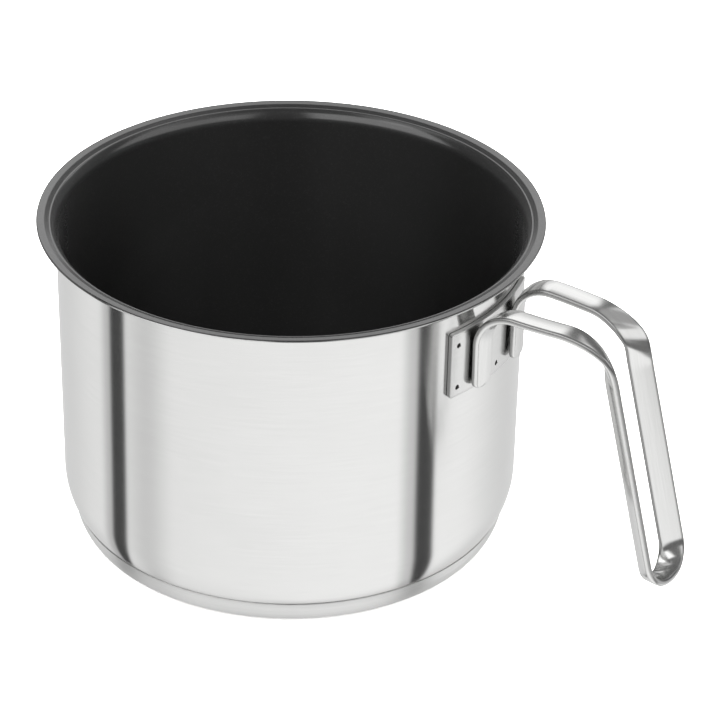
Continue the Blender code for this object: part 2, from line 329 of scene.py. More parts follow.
def bar_tree():
    """Sweeps a section along a course whose points say which way its width and its face point."""
    tree = Shaping("swept_bar", Section="Object", Surface="Material")
    course = tree.given["Geometry"]
    info = {"Object": tree.given["Section"]}
    section = tree.add("GeometryNodeObjectInfo", {"transform_space": "ORIGINAL"}, info, "Geometry")
    points = tree.add("GeometryNodeAttributeDomainSize", {"component": "MESH"}, {"Geometry": section})
    stations = tree.add("GeometryNodeAttributeDomainSize", {"component": "MESH"}, {"Geometry": course})
    sides = {"Vertices": points, "Side Segments": stations - 1}
    tube = tree.add("GeometryNodeMeshCylinder", {"fill_type": "NGON"}, sides)
    index = tree.add("GeometryNodeInputIndex")
    station = (index / points).maths("FLOOR")
    here = tree.add("GeometryNodeInputPosition")
    corner_x, corner_y, _ = tree.split(tree.sampled(section, here, index - station * points))
    inset = tree.sampled(course, tree.attribute("inset", "FLOAT"), station, "FLOAT")
    thinning = tree.sampled(course, tree.attribute("thinning", "FLOAT"), station, "FLOAT")
    distance = tree.sampled(course, tree.attribute("distance", "FLOAT"), station, "FLOAT")
    wide = corner_x - corner_x.maths("SIGN") * inset
    thick = corner_y - corner_y.maths("SIGN") * thinning
    place = tree.sampled(course, here, station)
    for name, length in (("across", wide), ("face", thick)):
        way = tree.sampled(course, tree.attribute(name), station)
        step = tree.add("ShaderNodeVectorMath", {"operation": "SCALE"}, {0: way, "Scale": length})
        place = tree.vector("ADD", place, step)
    settings = {"data_type": "FLOAT_VECTOR", "domain": "POINT"}
    kept = {"Geometry": tube, "Name": "grain", "Value": tree.join(distance, wide, thick)}
    marked = tree.add("GeometryNodeStoreNamedAttribute", settings, kept)
    moved = tree.add("GeometryNodeSetPosition", {}, {"Geometry": marked, "Position": place})
    smooth = tree.add("GeometryNodeSetShadeSmooth", {}, {"Geometry": moved})
    return tree.finish(smooth, tree.given["Surface"])


def repeat_tree():
    """Puts a copy of a piece on each point, with its Z axis along the point's outward direction."""
    tree = Shaping("repeated_piece", Piece="Object", Surface="Material")
    info = {"Object": tree.given["Piece"]}
    piece = tree.add("GeometryNodeObjectInfo", {"transform_space": "ORIGINAL"}, info, "Geometry")
    facing = {"Vector": tree.attribute("outward")}
    turn = tree.add("FunctionNodeAlignRotationToVector", {"axis": "Z"}, facing)
    sockets = {"Points": tree.given["Geometry"], "Instance": piece, "Rotation": turn}
    copies = tree.add("GeometryNodeInstanceOnPoints", {}, sockets)
    return tree.finish(copies, tree.given["Surface"])


def point_object(name, places, **attributes):
    """An object whose mesh is a line of points with named values on them."""
    mesh = bpy.data.meshes.new(name)
    mesh.from_pydata(places, [(number, number + 1) for number in range(len(places) - 1)], [])
    for label, values in attributes.items():
        vectors = isinstance(values[0], Vector)
        layer = mesh.attributes.new(label, "FLOAT_VECTOR" if vectors else "FLOAT", "POINT")
        if vectors:
            layer.data.foreach_set("vector", [number for vector in values for number in vector])
        else:
            layer.data.foreach_set("value", values)
    made = bpy.data.objects.new(name, mesh)
    bpy.context.scene.collection.objects.link(made)
    return made


def shape(made, tree, **inputs):
    """Puts a Geometry Nodes modifier on an object, with its inputs set by their identifiers."""
    modifier = made.modifiers.new(tree.name, "NODES")
    modifier.node_group = tree
    sockets = {item.name: item.identifier for item in tree.interface.items_tree if item.in_out == "INPUT"}
    for label, value in inputs.items():
        modifier[sockets[label]] = value


def settle(made):
    """Makes what an object's modifiers give its plain mesh, and takes the modifiers away."""
    graph = bpy.context.evaluated_depsgraph_get()
    mesh = bpy.data.meshes.new_from_object(
        made.evaluated_get(graph), preserve_all_data_layers=True, depsgraph=graph
    )
    made.modifiers.clear()
    made.data = mesh
    mesh.name = made.name
    return made


def even_shading(made, sharp=None):
    """Lets the large faces lead the shading, so that flats stay flat beside small rounded edges."""
    if sharp:
        made.data.set_sharp_from_angle(angle=sharp)
    weighted = made.modifiers.new("flats", "WEIGHTED_NORMAL")
    weighted.keep_sharp = True
    return settle(made)


def finish_piece(made, slot, *nodes):
    """Rides the pan and stands for its solids, which it hides."""
    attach(made, "root")
    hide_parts(*nodes)


def arc(centre, radius, start, stop, step=ARC_STEP):
    """Points of an arc about a (radius, height) centre, with both ends."""
    steps = max(math.ceil(abs(stop - start) / step - STEP_TOLERANCE), 2)
    angles = [start + (stop - start) * number / steps for number in range(steps + 1)]
    return [(centre[0] + radius * math.cos(a), centre[1] + radius * math.sin(a)) for a in angles]


def with_rows(outline, longest=ROW_HEIGHT):
    """Adds points to an outline where two are far apart."""
    rows = [outline[0]]
    for (r0, z0), (r1, z1) in zip(outline, outline[1:]):
        steps = max(math.ceil(math.hypot(r1 - r0, z1 - z0) / longest), 1)
        for step in range(1, steps + 1):
            share = step / steps
            rows.append((r0 + (r1 - r0) * share, z0 + (z1 - z0) * share))
    return rows


def turned(name, outline, surface):
    """A piece turned from an outline that runs from one end of its axis over its edge to the other."""
    places = [Vector((radius, 0, height)) for radius, height in with_rows(outline)]
    made = point_object(name, places)
    shape(made, TURNING, Segments=TURN_SEGMENTS, Surface=surface)
    return even_shading(settle(made))


# Heights and arc centres of the body, worked out from the base upward and from the lip downward,
# and of the cap, which follows the body
FLARE_TOP_RADIUS = FLARE_RADIUS + SHEET_STACK
FLARE_R = WALL_RADIUS + FLARE_RADIUS * math.cos(WALL_TAPER)
LIP_TOP_OUT = LIP_RADIUS - FLARE_R
FLARE_Z = PAN_HEIGHT - FLARE_TOP_RADIUS / math.cos(LIP_RISE) - LIP_TOP_OUT * math.tan(LIP_RISE)
HEEL_Z = BODY_BOTTOM + HEEL_RADIUS
CORNER_Z = HEEL_Z + (CORNER_RADIUS - HEEL_RADIUS) * math.sin(CORNER_TURN)
WALL_FALL = FLARE_Z - CORNER_Z + (FLARE_RADIUS + CORNER_RADIUS) * math.sin(WALL_TAPER)
CORNER_R = WALL_RADIUS - WALL_FALL * math.tan(WALL_TAPER) - CORNER_RADIUS * math.cos(WALL_TAPER)
HEEL_R = CORNER_R + (CORNER_RADIUS - HEEL_RADIUS) * math.cos(CORNER_TURN)
SEAM_HEIGHT = HEEL_Z - HEEL_RADIUS * math.sin(CORNER_TURN)
CAP_RADIUS = HEEL_R + HEEL_RADIUS * math.cos(CORNER_TURN) + GAP / math.cos(CORNER_TURN) + CAP_EDGE
CAP_SIDE_Z = CAP_FILLET + (CAP_SIDE_RADIUS - CAP_FILLET) * math.sin(CAP_TURN)
CAP_SIDE_R = CAP_RADIUS - math.sqrt(CAP_SIDE_RADIUS**2 - (CAP_SIDE_Z - SEAM_HEIGHT) ** 2)
CAP_FILLET_R = CAP_SIDE_R + (CAP_SIDE_RADIUS - CAP_FILLET) * math.cos(CAP_TURN)


def vessel_face(depth, edge, stepped=False):
    """Outline of the body from near the lip's edge to the flat bottom, on a face a given depth in.

    The coating's face steps down from the lip's edge.
    """
    flare = FLARE_RADIUS + depth
    out = LIP_RADIUS - edge
    lip_height = FLARE_Z + flare / math.cos(LIP_RISE) + (out - FLARE_R) * math.tan(LIP_RISE)
    points = [(out, lip_height)]
    turned_in = LIP_RISE
    if stepped:
        radius, height = LIP_RADIUS, lip_height + edge * math.tan(LIP_RISE)
        for length, tilt in LIP_STEPS:
            radius -= length * MM
            height -= length * MM * math.tan(math.radians(tilt))
            points.append((radius, height))
        turned_in = STEPS_END
    points += arc((FLARE_R, FLARE_Z), flare, QUARTER + turned_in, math.pi - WALL_TAPER, FLARE_STEP)
    points += arc((CORNER_R, CORNER_Z), CORNER_RADIUS - depth, -WALL_TAPER, -CORNER_TURN)
    points += arc((HEEL_R, HEEL_Z), HEEL_RADIUS - depth, -CORNER_TURN, -QUARTER)[1:]
    return points + [(0, BODY_BOTTOM + depth)]


def vessel_sheet(outer, inner, inset, stepped=False):
    """Outline of a sheet of the body between two depths, with a round edge at the lip."""
    edge = (inner - outer) / 2
    low = vessel_face(outer, inset + edge)
    high = vessel_face(inner, inset + edge, stepped)
    centre = ((low[0][0] + high[0][0]) / 2, (low[0][1] + high[0][1]) / 2)
    turn = arc(centre, edge, QUARTER + LIP_RISE, LIP_RISE - QUARTER, SHEET_EDGE_STEP)
    return high[::-1] + turn[1:-1] + low


def cap_face(depth, top):
    """Outline of the cap from the centre of its underside up to a height, on a face a given depth in."""
    side = CAP_SIDE_RADIUS - depth
    top_angle = -math.asin((CAP_SIDE_Z - top) / side)
    points = [(0, depth)]
    points += arc((CAP_FILLET_R, CAP_FILLET), CAP_FILLET - depth, -QUARTER, -CAP_TURN)
    return points + arc((CAP_SIDE_R, CAP_SIDE_Z), side, -CAP_TURN, top_angle)[1:]


def cap_outline():
    """Outline of the cap, drawn in at its top, with a bevel there that all but meets the body."""
    closing = GAP / math.cos(CORNER_TURN)
    top = SEAM_HEIGHT - CAP_EDGE / 2
    outside = [
        (radius - closing * eased(1 - (SEAM_HEIGHT - height) / CAP_DRAW), height)
        for radius, height in with_rows(cap_face(0, top), CAP_DRAW / CAP_DRAW_ROWS)
    ]
    start = outside[-1][0]
    body = CAP_RADIUS - CAP_EDGE - closing
    overhang = math.tan(CORNER_TURN)
    steep = math.tan(CAP_BEVEL)
    room = start - body + (SEAM_HEIGHT - top) * overhang - SEAM_GAP
    rise = room / (overhang + steep)
    tip = (start - rise * steep, top + rise)
    inside = cap_face(CAP_SHEET, SEAM_HEIGHT - CAP_SHEET)
    return inside + [(tip[0] - CAP_EDGE / 2, SEAM_HEIGHT - CAP_EDGE), tip] + outside[::-1]


def wall_radius(height):
    """Radius of the wall's outer face at a height of its straight stretch."""
    return WALL_RADIUS - (FLARE_Z - height) * math.tan(WALL_TAPER)


def plate_radius():
    """Radius on which distances round the wall are measured."""
    return wall_radius(PLATE_MIDDLE) + GAP


def wall_frame(round_wall, height, out):
    """A place off the wall, with the way out from it and the way up along it."""
    angle = round_wall / plate_radius()
    flat = Vector((math.cos(angle), math.sin(angle), 0))
    outward = flat * math.cos(WALL_TAPER) - UP * math.sin(WALL_TAPER)
    upward = flat * math.sin(WALL_TAPER) + UP * math.cos(WALL_TAPER)
    return flat * wall_radius(height) + UP * height + outward * out, outward, upward


def round_inset(beyond, radius):
    """How far a rounded corner has drawn in, from how far along it a point lies."""
    share = min(max(1 - beyond / radius, 0), 1)
    return radius * (1 - math.sqrt(1 - share * share))


def bar_section(width, thickness, edge, crown):
    """Outline of a bar's section: round corners, and wide sides that a crown raises in the middle."""
    reach = width / 2 - edge + edge * math.sin(crown)
    drop = reach * math.tan(crown) / 2
    centre = (width / 2 - edge, thickness / 2 - drop - edge * math.cos(crown))
    corner = arc(centre, edge, 0, QUARTER - crown, BAR_EDGE_STEP)
    shares = [1 - step / CROWN_STEPS for step in range(1, 2 * CROWN_STEPS)] if crown else []
    side = [(reach * share, thickness / 2 - drop * share * share) for share in shares]
    upper = corner + side + [(-x, y) for x, y in corner[::-1]]
    return upper + [(-x, -y) for x, y in upper]


def swept(made, outline, surface):
    """Gives a course its section and makes the bar."""
    section = point_object("bar_section", [Vector((x, y, 0)) for x, y in outline])
    shape(made, BAR, Section=section, Surface=surface)
    settle(made)
    bpy.data.objects.remove(section)
    return made


def corner_stations(radius, steps):
    """Distances along a rounded corner from its tip, closest together there."""
    return [radius * (1 - math.cos(QUARTER * step / steps)) for step in range(steps + 1)]


def plate_course():
    """Stations of the bracket along the wall, closer together in its corners."""
    straight = PLATE_WIDTH - 2 * PLATE_CORNER
    ends = corner_stations(PLATE_CORNER, PLATE_CORNER_STEPS)
    middle = [PLATE_CORNER + straight * step / PLATE_STEPS for step in range(1, PLATE_STEPS)]
    places = ends + middle + [PLATE_WIDTH - end for end in ends[::-1]]
    return [PLATE_WIDTH / 2 - place for place in places]


def bracket_plate(surface):
    """The curved plate, with a round hole for each weld."""
    course = plate_course()
    frames = [wall_frame(distance, PLATE_MIDDLE, PLATE_CENTRE) for distance in course]
    beyond = [PLATE_WIDTH / 2 - abs(distance) for distance in course]
    made = point_object(
        "bracket_plate",
        [place for place, _, _ in frames],
        across=[upward for _, _, upward in frames],
        face=[outward for _, outward, _ in frames],
        distance=course,
        inset=[round_inset(length, PLATE_CORNER) for length in beyond],
        thinning=[round_inset(length, PLATE_EDGE) for length in beyond],
    )
    swept(made, bar_section(PLATE_HEIGHT, PLATE_THICKNESS, PLATE_EDGE, 0), surface)
    cutters = on_welds("weld_cutters", hole_outline(), surface)
    cut = made.modifiers.new("holes", "BOOLEAN")
    cut.operation = "DIFFERENCE"
    cut.solver = "EXACT"
    cut.object = cutters
    settle(made)
    bpy.data.objects.remove(cutters)
    mark_grain(made)
    return even_shading(made, SHARP_ANGLE)


def mark_grain(made):
    """Writes how far along, across and out the bracket's points lie, because cutting the holes wipes that."""
    reach = plate_radius()
    grain = []
    for vertex in made.data.vertices:
        x, y, z = vertex.co
        out = math.hypot(x, y) - wall_radius(z)
        grain += [math.atan2(y, x) * reach, z - PLATE_MIDDLE, out - PLATE_CENTRE]
    made.data.attributes["grain"].data.foreach_set("vector", grain)


def hole_outline():
    """Outline of a cutter that leaves a hole with a small chamfer, and reaches beyond both faces."""
    beyond = 1 * MM
    wide = WELD_RADIUS + HOLE_CHAMFER
    return [
        (0, PLATE_FACE + beyond),
        (wide + beyond, PLATE_FACE + beyond),
        (wide, PLATE_FACE),
        (WELD_RADIUS, PLATE_FACE - HOLE_CHAMFER),
        (WELD_RADIUS, -beyond),
        (0, -beyond),
    ]


def weld_outline():
    """Outline of a weld's plug, which is dished in the middle."""
    top = PLATE_FACE - WELD_RECESS
    edge = WELD_RADIUS - WELD_SLACK
    dished = [(edge * out, top - WELD_DISH * down) for out, down in WELD_PROFILE]
    return dished + [(edge, PLATE_STANDOFF), (0, PLATE_STANDOFF)]


def on_welds(name, outline, surface):
    """One mesh with a small turned piece at each of the six welds."""
    plug = point_object("weld_plug", [Vector((radius, 0, height)) for radius, height in outline])
    shape(plug, TURNING, Segments=WELD_SEGMENTS, Surface=surface)
    settle(plug)
    top_inset, bottom_inset, side_inset = WELD_INSETS
    column = PLATE_WIDTH / 2 - side_inset
    rows = (PLATE_TOP - top_inset, PLATE_BOTTOM + bottom_inset)
    frames = [wall_frame(distance, height, 0) for height in rows for distance in (-column, 0, column)]
    places = [place for place, _, _ in frames]
    made = point_object(name, places, outward=[outward for _, outward, _ in frames])
    shape(made, REPEAT, Piece=plug, Surface=surface)
    settle(made)
    bpy.data.objects.remove(plug)
    return made


def eased(share):
    """A smooth step from 0 to 1."""
    share = min(max(share, 0), 1)
    return share * share * (3 - 2 * share)


def strap_course():
    """Stations of half the strap in its own plane: distance from the tab's end, x, height and heading."""
    tab_radius = wall_radius(PLATE_MIDDLE) + TAB_STANDOFF + STRAP_THICKNESS / 2
    corner = corner_stations(TAB_CORNER, TAB_CORNER_STEPS)

    # Length, turn and number of steps of each stretch
    stretches = [(b - a, 0, 1) for a, b in zip(corner, corner[1:])]
    stretches += [
        (TAB_LENGTH - TAB_CORNER, 0, 10),
        (BEND_RADIUS * BEND_TURN, BEND_TURN, 36),
        (RUN_LENGTH, 0, 14),
        (SHOULDER_RADIUS * SHOULDER_TURN, SHOULDER_TURN, 26),
        (ELBOW_RADIUS * ELBOW_TURN, ELBOW_TURN, 24),
        (LEG_LENGTH, 0, 56),
    ]
    x = math.sqrt(tab_radius**2 - TAB_OFFSET**2)
    height = PLATE_BOTTOM + TAB_INSET
    heading = QUARTER
    distance = 0
    stations = [(distance, x, height, heading)]
    for length, turn, steps in stretches:
        for _ in range(steps):
            half_turn = turn / steps / 2
            chord = length / steps
            if half_turn:
                chord = chord * math.sin(half_turn) / half_turn
            x += chord * math.cos(heading - half_turn)
            height += chord * math.sin(heading - half_turn)
            heading -= 2 * half_turn
            distance += length / steps
            stations.append((distance, x, height, heading))
    return stations


def strap_half():
    """Distance, centre, width direction and face direction of each station of the strap's rear half."""
    stations = strap_course()
    bend_end = TAB_LENGTH + BEND_RADIUS * BEND_TURN
    shoulder_end = bend_end + RUN_LENGTH + SHOULDER_RADIUS * SHOULDER_TURN
    elbow_end = stations[-1][0] - LEG_LENGTH
    twist_length = TWIST_LEAD + elbow_end - shoulder_end + TWIST_TRAIL
    tab_tilt = math.atan2(TAB_OFFSET, stations[0][1])
    half = []
    for distance, x, height, heading in stations:
        inward = eased((distance - bend_end) / (shoulder_end - bend_end))
        offset = TAB_OFFSET + (LEG_OFFSET - TAB_OFFSET) * inward
        tilt = tab_tilt + (RUN_TILT - tab_tilt) * eased((distance - TAB_LENGTH) / (bend_end - TAB_LENGTH))
        tilt += (LEG_TILT - tilt) * eased((distance - shoulder_end + TWIST_LEAD) / twist_length)
        forward = Vector((math.cos(heading), 0, math.sin(heading)))
        normal = Vector((-math.sin(heading), 0, math.cos(heading)))
        face = math.cos(tilt) * normal - math.sin(tilt) * SIDEWAYS
        half.append((distance, Vector((x, offset, height)), face.cross(forward), face))
    whole = half + strap_turn(half[-1][0], half[-1][1], forward, normal)
    return skewed(whole, elbow_end - ELBOW_RADIUS * ELBOW_TURN, elbow_end)


def between(stations, distance):
    """Centre and width direction at a distance along a course."""
    for (d0, c0, a0, _), (d1, c1, a1, _) in zip(stations, stations[1:]):
        if distance <= d1:
            share = (distance - d0) / (d1 - d0)
            return c0.lerp(c1, share), a0.lerp(a1, share)
    return stations[-1][1], stations[-1][2]


def skewed(stations, start, stop):
    """Lets the lines across the bar run askew round its elbow, with its edges left where they are."""
    changed = []
    half = STRAP_WIDTH / 2
    for distance, centre, across, face in stations:
        arriving = eased((distance - start + SKEW_RAMP) / SKEW_RAMP)
        lead = SKEW_LEAD * arriving * eased((stop + SKEW_RAMP - distance) / SKEW_RAMP)
        if lead:
            far_centre, far_across = between(stations, distance + lead)
            near_centre, near_across = between(stations, distance - lead)
            far = far_centre + far_across * half
            near = near_centre - near_across * half
            centre = (far + near) / 2
            across = (far - near) / STRAP_WIDTH
            face = (face - face.project(across)).normalized()
        changed.append((distance, centre, across, face))
    return changed


def strap_turn(distance, leg_end, down, normal):
    """A quarter of the round turn, over which the bar's face turns edge on to the middle plane."""
    quarter = []
    for step in range(1, TURN_STEPS + 1):
        turn = QUARTER * step / TURN_STEPS
        outward = math.cos(turn) * SIDEWAYS + math.sin(turn) * down
        forward = math.cos(turn) * down - math.sin(turn) * SIDEWAYS
        centre = leg_end + LEG_OFFSET * (outward - SIDEWAYS)
        tilt = LEG_TILT + (QUARTER - LEG_TILT) * eased(turn / QUARTER)
        face = math.cos(tilt) * normal - math.sin(tilt) * outward
        quarter.append((distance + turn * LEG_OFFSET, centre, face.cross(forward), face))
    return quarter


def mirrored(vector):
    """The same vector on the other side of the handle's middle plane."""
    return Vector((vector.x, -vector.y, vector.z))


def handle_bar(surface):
    """The whole strap, from its front tab down round the turn and back up to its rear tab."""
    rear = strap_half()
    whole = 2 * rear[-1][0]
    front = [(whole - d, mirrored(c), mirrored(a), mirrored(f)) for d, c, a, f in rear[:-1]]
    course = front + rear[::-1]
    ends = [min(distance, whole - distance) for distance, _, _, _ in course]
    made = point_object(
        "handle_bar",
        [centre for _, centre, _, _ in course],
        across=[across for _, _, across, _ in course],
        face=[face for _, _, _, face in course],
        distance=[distance for distance, _, _, _ in course],
        inset=[round_inset(length, TAB_CORNER) for length in ends],
        thinning=[round_inset(length, END_EDGE) for length in ends],
    )
    section = bar_section(STRAP_WIDTH, STRAP_THICKNESS, STRAP_EDGE, STRAP_CROWN)
    return even_shading(swept(made, section, surface))


class Finish(Tree):
    """A Principled material in the making."""

    def __init__(self, name, **constants):
        self.material = bpy.data.materials.new(name)
        self.material.use_nodes = True
        super().__init__(self.material.node_tree)
        self.shader = self.tree.nodes["Principled BSDF"]
        for label, value in constants.items():
            self.shader.inputs[label.replace("_", " ")].default_value = value

    def place(self):
        """Object coordinates, in metres."""
        return self.add("ShaderNodeTexCoord", {}, {}, "Object")

    def noise(self, vector, scale, detail, roughness):
        """Soft noise from 0 to 1."""
        sockets = {"Vector": vector, "Scale": scale, "Detail": detail, "Roughness": roughness}
        return self.add("ShaderNodeTexNoise", {}, sockets)

    def toned(self, tone, dark, light):
        """A colour between two greys, as a noise has it."""
        return self.blend(self.ranged(tone, *SPREAD), grey(dark), grey(light))

    def blend(self, share, first, second):
        """A colour between two."""
        settings = {"data_type": "RGBA", "blend_type": "MIX"}
        return self.add("ShaderNodeMix", settings, {0: share, 6: first, 7: second}, 2)

    def bump(self, height, strength, depth):
        """A normal from a height."""
        sockets = {"Height": height, "Strength": strength, "Distance": depth}
        return self.add("ShaderNodeBump", {}, sockets)

    def feed(self, **wires):
        """Links what changes over the surface to the shader."""
        for label, wire in wires.items():
            self.tree.links.new(wire.socket, self.shader.inputs[label.replace("_", " ")])
        return self.material


def grey(level):
    """A neutral colour."""
    return (level, level, level * 0.99, 1)


def turned_grain(finish, along, across):
    """Fine lines that run round the pan's axis, from long streaks that are thin across them."""
    x, y, z = finish.split(finish.place())
    climb = z + (x * x + y * y) ** 0.5
    stretched = finish.join(x * along, y * along, climb * across)
    return finish.noise(stretched, scale=1, detail=3, roughness=0.6)


def brushed_steel():
    """Pan body: brushed round its axis, with fine lines and a few deeper ones."""
    finish = Finish("brushed_body_steel", Metallic=1, Anisotropic=0.95, Anisotropic_Rotation=0.25)
    fine = turned_grain(finish, along=90, across=7000)
    broad = turned_grain(finish, along=40, across=1500)
    cloud = finish.noise(finish.place(), scale=38, detail=3, roughness=0.55)
    deep = finish.ranged(turned_grain(finish, along=60, across=4200), 0.64, 0.8)
    tone = fine * 0.5 + broad * 0.2 + cloud * 0.3
    colour = finish.toned(tone, dark=0.61, light=0.65)
    colour = finish.blend(deep * 0.12, colour, grey(0.48))
    rough = 0.14 + fine * 0.03 + cloud * 0.02
    height = fine * 0.7 + broad * 0.3 - deep * 0.4
    normal = finish.bump(height, strength=0.03, depth=0.02 * MM)
    return finish.feed(Base_Color=colour, Roughness=rough, Normal=normal)


def cap_steel():
    """Base cap: the same steel turned, with rings on its underside and worn marks where it stands."""
    finish = Finish("turned_cap_steel", Metallic=1, Anisotropic=0.6, Anisotropic_Rotation=0.25)
    fine = turned_grain(finish, along=24, across=5200)
    rings = turned_grain(finish, along=8, across=1500)
    cloud = finish.noise(finish.place(), scale=60, detail=4, roughness=0.6)
    _, _, z = finish.split(finish.place())
    worn = finish.ranged(z, 1.6 * MM, 0.2 * MM) * finish.ranged(cloud, 0.35, 0.7)
    tone = fine * 0.5 + rings * 0.35 + cloud * 0.15
    colour = finish.toned(tone, dark=0.53, light=0.6)
    colour = finish.blend(worn * 0.4, colour, grey(0.48))
    rough = 0.34 + fine * 0.08 + worn * 0.15
    normal = finish.bump(fine + rings * 0.5, strength=0.1, depth=0.03 * MM)
    return finish.feed(Base_Color=colour, Roughness=rough, Normal=normal)


def nonstick():
    """Lining: dark coating with fine flakes in it and a slight orange peel."""
    finish = Finish(
        "nonstick_coating",
        IOR=1.6,
        Specular_IOR_Level=0.25,
        Anisotropic=0.9,
        Anisotropic_Rotation=0.25,
        Coat_Weight=1,
        Coat_Roughness=0.14,
        Coat_IOR=1.7,
    )
    place = finish.place()
    cells = {"Vector": place, "Scale": 2600}
    flakes = finish.add("ShaderNodeTexVoronoi", {"feature": "F1"}, cells, "Color")
    chance, lean, _ = finish.split(flakes)
    flake = finish.ranged(chance, 0.82, 0.95)
    peel = finish.noise(place, scale=900, detail=2, roughness=0.5)
    cloud = finish.noise(place, scale=30, detail=3, roughness=0.5)
    colour = finish.toned(cloud, dark=0.0004, light=0.001)
    colour = finish.blend(flake * 0.5, colour, grey(0.008))
    rough = 0.38 + peel * 0.06 - flake * 0.04 + cloud * 0.03
    height = peel * 0.6 + lean * 0.25 + flake * 0.3
    normal = finish.bump(height, strength=0.15, depth=0.06 * MM)
    return finish.feed(Base_Color=colour, Roughness=rough, Normal=normal)


def plain_aluminium():
    """Disc in the base: sawn and faced aluminium, with rings."""
    finish = Finish("faced_aluminium", Metallic=1)
    rings = turned_grain(finish, along=10, across=2200)
    cloud = finish.noise(finish.place(), scale=80, detail=3, roughness=0.5)
    colour = finish.toned(rings, dark=0.7, light=0.82)
    rough = 0.34 + rings * 0.1 + cloud * 0.1
    normal = finish.bump(rings, strength=0.15, depth=0.04 * MM)
    return finish.feed(Base_Color=colour, Roughness=rough, Normal=normal)


def bar_steel(name, width, length, along, across, greys, rough_low, painted_side_shade):
    """Steel brushed lengthwise, with painted shade on its sides toward the outer face and on its cut ends,
    and rougher sides.

    The grain attribute gives the distance along the bar, across it and out of its middle.
    """
    finish = Finish(name, Metallic=1)
    grain = finish.add("ShaderNodeAttribute", {"attribute_name": "grain"}, {}, "Vector")
    distance, wide, thick = finish.split(grain)
    finer_along = along * 3
    finer_across = across * 2.5
    drawn = finish.join(distance * along, wide * across, thick * across)
    finer = finish.join(distance * finer_along, wide * finer_across, thick * finer_across)
    lines = finish.noise(drawn, scale=1, detail=3, roughness=0.6)
    faint = finish.noise(finer, scale=1, detail=2, roughness=0.5)
    cloud = finish.noise(finish.place(), scale=90, detail=3, roughness=0.5)
    side = finish.ranged(wide.maths("ABSOLUTE"), *[width / 2 - inset for inset in SIDE_BAND])
    outer = finish.ranged(thick, *OUTER_BAND)
    cut = finish.ranged(distance.maths("ABSOLUTE"), *[length / 2 - inset for inset in CUT_BAND])
    tone = lines * 0.6 + faint * 0.25 + cloud * 0.15
    colour = finish.toned(tone, *greys)
    # Painted shade on the bar's sides, on their outer half, as strong as the given share
    colour = finish.blend(side * outer * painted_side_shade, colour, grey(0.2))
    # Painted shade on the cut ends
    colour = finish.blend(cut, colour, grey(0.27))
    rough = rough_low + lines * 0.08 + cloud * 0.04 + side * 0.1
    height = lines * 0.7 + faint * 0.3
    normal = finish.bump(height, strength=0.1, depth=0.03 * MM)
    return finish.feed(Base_Color=colour, Roughness=rough, Normal=normal)


def weld_steel():
    """Welds: dull fused metal with a coarse skin, painted near-black as the shade in their recesses."""
    finish = Finish("fused_weld_steel", Metallic=1)
    coarse = finish.noise(finish.place(), scale=2600, detail=3, roughness=0.6)
    cloud = finish.noise(finish.place(), scale=700, detail=2, roughness=0.5)
    # Near-black colour: painted shade of the recessed welds
    colour = finish.blend(coarse, grey(0.015), grey(0.06))
    rough = 0.5 + cloud * 0.2
    normal = finish.bump(coarse, strength=0.4, depth=0.06 * MM)
    return finish.feed(Base_Color=colour, Roughness=rough, Normal=normal)


def pale_floor():
    """A wide plain floor, a hair below the base so that the two don't share a plane."""
    finish = Finish("pale_floor", Roughness=0.9, Specular_IOR_Level=0.1)
    cloud = finish.noise(finish.place(), scale=4, detail=2, roughness=0.5)
    colour = finish.blend(cloud, grey(0.93), grey(0.95))
    half = FLOOR_WIDTH / 2
    corners = [(x * half, y * half, -FLOOR_DROP) for x, y in ((-1, -1), (1, -1), (1, 1), (-1, 1))]
    mesh = bpy.data.meshes.new("floor")
    mesh.from_pydata(corners, [], [(0, 1, 2, 3)])
    mesh.materials.append(finish.feed(Base_Color=colour))
    floor = bpy.data.objects.new("floor", mesh)
    bpy.context.scene.collection.objects.link(floor)
    floor.visible_glossy = False


# Soft boxes round the pan: middle and half width of each about Z, its lower and upper edge, and its strength.
# All angles of the studio are in degrees.
SOFT_BOXES = (
    (-103, 36, 14, 58, 1.6),
    (1, 38, 19, 52, 0.65),
    (1, 38, 19, 66, 0.35),
    (122, 11, 12, 47, 0.9),
    (122, 14, 26, 50, 0.4),
    (86, 8, 28, 47, 1.25),
    (62, 42, 50, 76, 0.28),
    (-150, 34, 50, 74, 0.7),
    (60, 66, -25, -3, 1.0),
)
BOX_SOFTNESS = 5
ROOM_STRENGTH = 0.13

# Pale table below the horizon: its mean strength, how much brighter one side is, where it ends, and the broad
# shade on it, with middle and half width about Z, softness and depth
TABLE_STRENGTH = 1.21
TABLE_SWING = 0.1
BRIGHT_SIDE = -10
TABLE_END = -9
TABLE_SOFTNESS = 6
TABLE_SHADE = (115, 50, 28, 0.29)

# Dark gaps that the brushed wall draws out into upright lines: middle and half width, softness and depth
GAPS = (
    (-152.5, 5.5, 1.5, 0.95),
    (-160, 4, 4, 0.35),
    (-136, 10, 10, 0.24),
    (13.5, 5.5, 1.5, 0.95),
    (6, 5, 4, 0.35),
)
GAP_TOP = 12
GAP_TOP_SOFTNESS = 8

# How a gap's line narrows where the wall curves under, from the part of a direction that points outward
NARROW_SHIFT = 0.35
NARROW_RANGE = 0.95
NARROWEST = 0.001

# Plain light for all but mirrored rays, and the least square of a direction's level part
PLAIN_STRENGTH = 4
LEAST_LEVEL = 0.000001

# Floor
FLOOR_WIDTH = 12
FLOOR_DROP = 0.05 * MM


